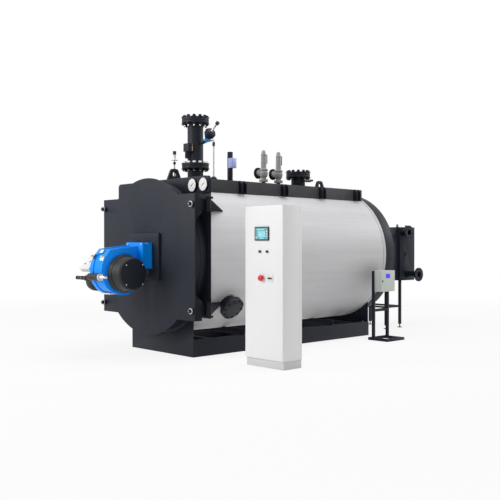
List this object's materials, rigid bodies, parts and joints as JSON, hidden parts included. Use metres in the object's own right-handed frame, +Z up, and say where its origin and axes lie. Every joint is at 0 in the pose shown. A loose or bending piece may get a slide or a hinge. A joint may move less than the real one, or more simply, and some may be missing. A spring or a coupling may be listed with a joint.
{
  "type": "industrial steam boiler",
  "caption": "Horizontal round shell boiler on a base frame, with a hinged burner door, top steam nozzle, safety valves, rear economizer and control cabinet.",
  "frame": {"origin": "on the floor under the middle of the base frame, on the boiler's centre line", "axes": "+X to the right seen from the burner end, +Y from the burner end to the flue end, +Z up"},
  "size_m": [3.213, 6.3574, 3.2033],
  "materials": {
    "dark_paint": "satin dark slate paint",
    "frame_paint": "satin near-black paint",
    "cladding_sheet": "brushed stainless sheet",
    "mineral_wool": "compressed mineral wool",
    "boiler_steel": "mill scale and light rust",
    "refractory": "cast refractory",
    "burner_blue": "gloss blue paint",
    "black_plastic": "matte moulded plastic",
    "motor_paint": "black enamel",
    "grey_housing": "light grey plastic",
    "bright_steel": "zinc plated",
    "dial": "white dial behind glass",
    "valve_grey": "grey enamel",
    "pipe_grey": "plain steel pipe",
    "probe_lavender": "lavender plastic",
    "cabinet_white": "white powder coat",
    "plinth_grey": "light grey powder coat",
    "box_green": "grey-green powder coat",
    "controls": "panel controls"
  },
  "bodies": {
    "boiler": {"base_beams": "frame_paint", "base_cross_members": "frame_paint", "base_front_plate": "dark_paint", "shell_saddles": "frame_paint", "cladding": "cladding_sheet", "shell_insulation": "mineral_wool", "pressure_shell": "boiler_steel", "front_casing": "dark_paint", "front_tube_plate": "boiler_steel", "rear_tube_plate": "boiler_steel", "furnace_tube": "boiler_steel", "smoke_tubes": "boiler_steel", "rear_smokebox": "dark_paint", "rear_cover": "dark_paint", "hinge_brackets": "frame_paint", "casing_gussets": "frame_paint", "gauge_panel": "frame_paint", "pressure_gauges": "dial", "walkway": "frame_paint", "walkway_ribs": "frame_paint", "lifting_lugs": "frame_paint", "top_nozzles": "frame_paint", "steam_spool": "frame_paint", "blind_flanges": "frame_paint", "safety_valve_necks": "valve_grey", "safety_valves": "valve_grey", "pressure_limiter": "black_plastic", "isolating_valve": "black_plastic", "impulse_pipe": "pipe_grey", "front_sensor": "grey_housing", "level_probe_tube": "frame_paint", "level_probe_head": "probe_lavender", "vent_valve": "pipe_grey", "handhole": "frame_paint", "handhole_cover": "frame_paint", "economizer_duct": "frame_paint", "economizer_casing": "dark_paint", "flue_outlet": "frame_paint", "economizer_legs": "frame_paint", "water_connections": "frame_paint", "cabinet_body": "cabinet_white", "cabinet_back_plate": "pipe_grey", "cabinet_plinth": "plinth_grey", "controller_stand": "frame_paint", "controller_box": "box_green"},
    "front_door": {"door_plate": "dark_paint", "door_lining": "refractory", "door_refractory": "refractory", "door_hinge_arms": "dark_paint", "door_clamps": "bright_steel", "burner_plate": "dark_paint", "burner_housing": "burner_blue", "air_intake": "black_plastic", "burner_motor": "motor_paint", "burner_panel": "grey_housing", "burner_head": "boiler_steel", "burner_servo": "black_plastic"},
    "cabinet_door": {"cabinet_door": "cabinet_white", "cabinet_controls": "controls"},
    "controller_box_door": {"controller_box_door": "box_green"}
  },
  "joints": [
    {"name": "front_door_hinge", "type": "hinge", "parent": "boiler", "child": "front_door", "pos_m": [1.05, -1.83, 1.286], "axis": [0, 0, 1], "range_deg": [0, 90]},
    {"name": "cabinet_door_hinge", "type": "hinge", "parent": "boiler", "child": "cabinet_door", "pos_m": [2.178, -1.64, 1], "axis": [0, 0, 1], "range_deg": [0, 110]},
    {"name": "controller_box_hinge", "type": "hinge", "parent": "boiler", "child": "controller_box_door", "pos_m": [1.2743, 1.652, 0.89], "axis": [0, 0, 1], "range_deg": [0, 110]}
  ]
}
